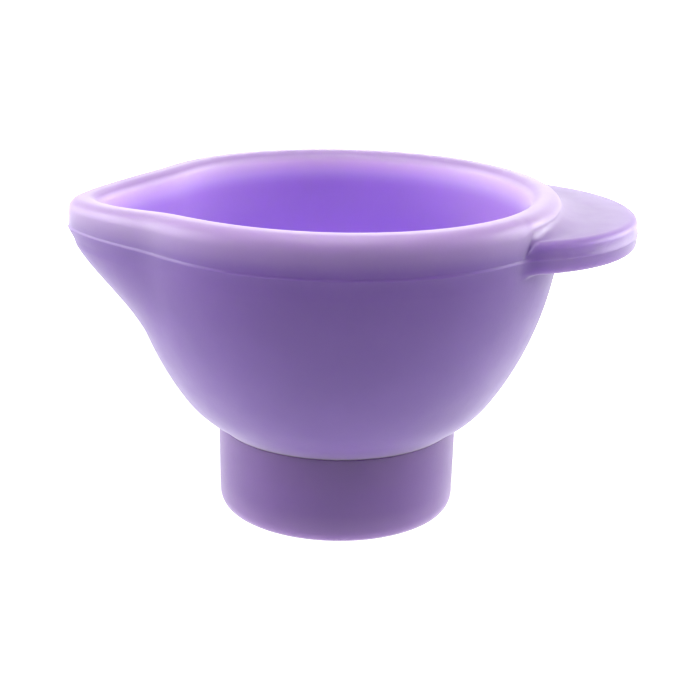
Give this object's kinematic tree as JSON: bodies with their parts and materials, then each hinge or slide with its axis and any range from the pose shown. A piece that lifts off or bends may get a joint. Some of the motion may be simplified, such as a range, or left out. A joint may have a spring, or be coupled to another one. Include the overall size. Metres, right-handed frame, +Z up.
{
  "type": "hair color bowl",
  "caption": "Round tinting bowl with a deep basin, thick rounded lip, pointed pouring spout, wide flat thumb tab and a short straight foot on a rubber ring.",
  "frame": {"origin": "centre of the foot on the surface that the bowl rests on", "axes": "+Z up, +X towards the thumb tab, -X towards the spout"},
  "size_m": [0.1481, 0.1144, 0.0869],
  "materials": {
    "bowl": "satin translucent silicone",
    "foot": "satin translucent silicone",
    "grip": "matt soft rubber"
  },
  "bodies": {
    "root": {"bowl_shell": "bowl", "foot_ring": "foot", "non_slip_ring": "grip"}
  },
  "joints": []
}
